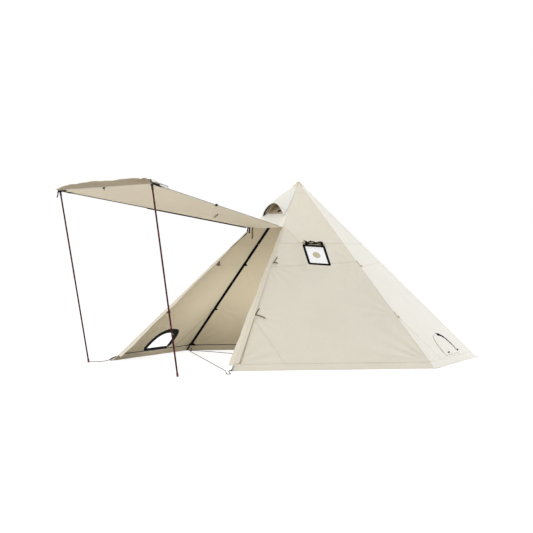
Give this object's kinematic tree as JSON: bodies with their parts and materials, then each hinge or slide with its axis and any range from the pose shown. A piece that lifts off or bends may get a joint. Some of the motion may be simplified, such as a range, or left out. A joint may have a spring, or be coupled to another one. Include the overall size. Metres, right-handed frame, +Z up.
{
  "type": "tipi tent",
  "caption": "Pyramid tipi tent on a centre pole, with its door panel raised on slim poles as an awning, a hooded top vent, a stove jack, low vents and ground cords.",
  "frame": {"origin": "on the ground at the middle of the centre pole's foot disc", "axes": "+Z up; the door faces -Y and the rear wall faces +Y; +X is to the right as one looks at the door from outside"},
  "size_m": [4.7632, 5.1865, 2.1994],
  "materials": {
    "canopy_cloth": "matt woven canvas",
    "awning_cloth": "matt woven canvas",
    "black_webbing": "woven tape",
    "pole_tube": "dark red, half gloss",
    "pole_fitting": "moulded, matt",
    "stove_panel": "coated heat-proof cloth",
    "stove_port": "heat-proof cloth",
    "mesh": "fine net",
    "cord": "braided",
    "zip_slider": "black",
    "zip_tape": "moulded teeth on woven tape"
  },
  "bodies": {
    "tent": {"centre_pole_foot": "pole_fitting", "centre_pole_section_1": "pole_tube", "centre_pole_section_2": "pole_tube", "centre_pole_section_3": "pole_tube", "centre_pole_section_4": "pole_tube", "centre_pole_tip": "pole_fitting", "door_zip_left": "zip_tape", "door_zip_right": "zip_tape", "foot_cord_tensioner": "pole_tube", "ground_cord_cross": "cord", "ground_cord_front": "cord", "peak_cap": "canopy_cloth", "pole_foot_cord": "cord", "seam_webbing_left": "black_webbing", "seam_webbing_rear_left": "black_webbing", "seam_webbing_rear_right": "black_webbing", "seam_webbing_right": "black_webbing", "skirt_left_front": "canopy_cloth", "skirt_left_rear": "canopy_cloth", "skirt_rear": "canopy_cloth", "skirt_right_front": "canopy_cloth", "skirt_right_rear": "canopy_cloth", "storm_flap_left": "canopy_cloth", "storm_flap_right": "canopy_cloth", "stove_flap_roll": "canopy_cloth", "stove_jack_frame": "black_webbing", "stove_jack_panel": "stove_panel", "stove_jack_port": "stove_port", "vent_binding_left": "black_webbing", "vent_binding_right": "black_webbing", "vent_hood": "canopy_cloth", "vent_mesh": "mesh", "wall_front_upper": "canopy_cloth", "wall_left_front": "canopy_cloth", "wall_left_rear": "canopy_cloth", "wall_rear": "canopy_cloth", "wall_right_front": "canopy_cloth", "wall_right_rear": "canopy_cloth"},
    "awning": {"awning_corner_tie": "black_webbing", "awning_corner_webbing_left": "black_webbing", "awning_corner_webbing_right": "black_webbing", "awning_panel": "awning_cloth"},
    "awning_skirt": {"awning_skirt": "awning_cloth"},
    "awning_pole_left": {"awning_pole_left_foot": "pole_fitting", "awning_pole_left_section_1": "pole_tube", "awning_pole_left_section_2": "pole_tube", "awning_pole_left_section_3": "pole_tube", "awning_pole_left_section_4": "pole_tube", "awning_pole_left_top": "pole_fitting"},
    "awning_pole_right": {"awning_pole_right_foot": "pole_fitting", "awning_pole_right_section_1": "pole_tube", "awning_pole_right_section_2": "pole_tube", "awning_pole_right_section_3": "pole_tube", "awning_pole_right_section_4": "pole_tube", "awning_pole_right_top": "pole_fitting"},
    "vent_flap_left": {"vent_flap_left": "canopy_cloth"},
    "vent_flap_right": {"vent_flap_right": "canopy_cloth"},
    "zip_slider_left": {"zip_slider_left": "zip_slider"},
    "zip_slider_right": {"zip_slider_right": "zip_slider"}
  },
  "joints": [
    {"name": "awning_lift", "type": "hinge", "parent": "tent", "child": "awning", "pos_m": [0, -0.52331, 1.6243], "axis": [1, 0, 0], "range_deg": [-10, 51]},
    {"name": "awning_skirt_fold", "type": "hinge", "parent": "awning", "child": "awning_skirt", "pos_m": [0, -2.91982, 2.03825], "axis": [1, 0, 0], "range_deg": [-42, 9]},
    {"name": "awning_pole_left_fold", "type": "hinge", "parent": "awning", "child": "awning_pole_left", "pos_m": [-0.90951, -2.90172, 2.01964], "axis": [0.8936, -0.4478, -0.0322], "range_deg": [-13.6, 69.1]},
    {"name": "awning_pole_right_fold", "type": "hinge", "parent": "awning", "child": "awning_pole_right", "pos_m": [0.90951, -2.90172, 2.01964], "axis": [0.8279, 0.5553, 0.0786], "range_deg": [-17.7, 90]},
    {"name": "vent_flap_left_turn", "type": "hinge", "parent": "tent", "child": "vent_flap_left", "pos_m": [-1.63831, -1.00939, 0.092], "axis": [0.5, -0.866, 0], "range_deg": [-146, 0]},
    {"name": "vent_flap_right_turn", "type": "hinge", "parent": "tent", "child": "vent_flap_right", "pos_m": [1.60331, 1.07001, 0.092], "axis": [-0.5, 0.866, 0], "range_deg": [0, 146]},
    {"name": "zip_slider_left_slide", "type": "slide", "parent": "tent", "child": "zip_slider_left", "axis": [-0.3623, -0.6276, -0.6891], "range_m": [0, 2.106]},
    {"name": "zip_slider_right_slide", "type": "slide", "parent": "tent", "child": "zip_slider_right", "axis": [0.3623, -0.6276, -0.6891], "range_m": [0, 2.106]}
  ],
  "couplings": [
    {"joint": "awning_skirt_fold", "follows": "awning_lift", "ratio": -0.8},
    {"joint": "awning_pole_left_fold", "follows": "awning_lift", "ratio": 1.3538},
    {"joint": "awning_pole_right_fold", "follows": "awning_lift", "ratio": 1.7628}
  ]
}
